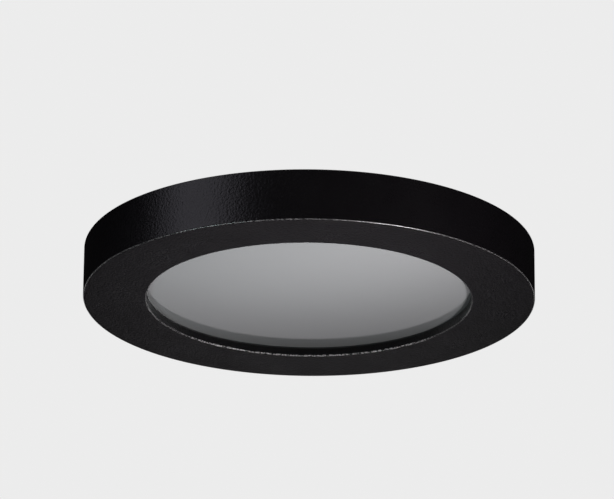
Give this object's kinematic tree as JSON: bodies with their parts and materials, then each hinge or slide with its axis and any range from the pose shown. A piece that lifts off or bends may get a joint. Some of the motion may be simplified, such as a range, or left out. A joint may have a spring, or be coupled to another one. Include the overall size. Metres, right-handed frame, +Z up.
{
  "type": "surface-mounted soffit downlight",
  "caption": "Shallow round surface-mounted soffit downlight: black drum, recessed frosted glass lens, twist-lock drum on a steel mounting plate.",
  "frame": {"origin": "centre of the mounting plate's upper face, in the plane of the soffit, on the light's own axis", "axes": "+Z points up into the soffit along the light's axis, and the light shines towards -Z; +X runs along the line of the mounting plate's two slots; +Y follows by the right-hand rule"},
  "size_m": [0.15, 0.15, 0.0175],
  "materials": {
    "galvanised_steel": "bright zinc-coated pressed sheet with a fine crystal pattern",
    "black_powder_coat": "near-black powder coat with a fine orange-peel texture, semi-gloss",
    "foam_rubber": "closed-cell black foam",
    "black_silicone": "moulded silicone, matt",
    "frosted_glass": "tempered glass, glossy on its front and frosted white on its back",
    "white_reflector": "white moulded polycarbonate, satin",
    "board_white": "white solder mask on aluminium",
    "led_phosphor": "yellow phosphor in a white package",
    "black_epoxy": "moulded black epoxy",
    "resistor_black": "black glass over white ceramic, tinned ends",
    "varistor_blue": "blue epoxy dip",
    "fuse_green": "grey-green lacquer, tinned ends",
    "terminal_white": "white moulded nylon",
    "zinc_screws": "bright zinc plate",
    "pad_grey": "soft grey heat-conducting pad",
    "aluminium_sheet": "rolled aluminium sheet, satin, with faint rolling lines",
    "grommet_rubber": "black moulded rubber",
    "vent_white": "white woven membrane"
  },
  "bodies": {
    "bracket": {"mounting_plate": "galvanised_steel"},
    "luminaire": {"housing": "black_powder_coat", "soffit_seal": "foam_rubber", "lens_gasket": "black_silicone", "lens": "frosted_glass", "reflector": "white_reflector", "led_board": "board_white", "leds": "led_phosphor", "bridge_rectifier": "black_epoxy", "driver_chips": "black_epoxy", "varistor": "varistor_blue", "fuse_resistors": "fuse_green", "chip_resistors": "resistor_black", "wire_terminals": "terminal_white", "board_screws": "zinc_screws", "thermal_pad": "pad_grey", "chamber_cover": "aluminium_sheet", "cover_gasket": "black_silicone", "cover_screws": "zinc_screws", "cable_grommet": "grommet_rubber", "vent_patch": "vent_white"}
  },
  "joints": [
    {"name": "twist_lock", "type": "hinge", "parent": "bracket", "child": "luminaire", "pos_m": [0, 0, 0], "axis": [0, 0, -1], "range_deg": [0, 30]}
  ]
}
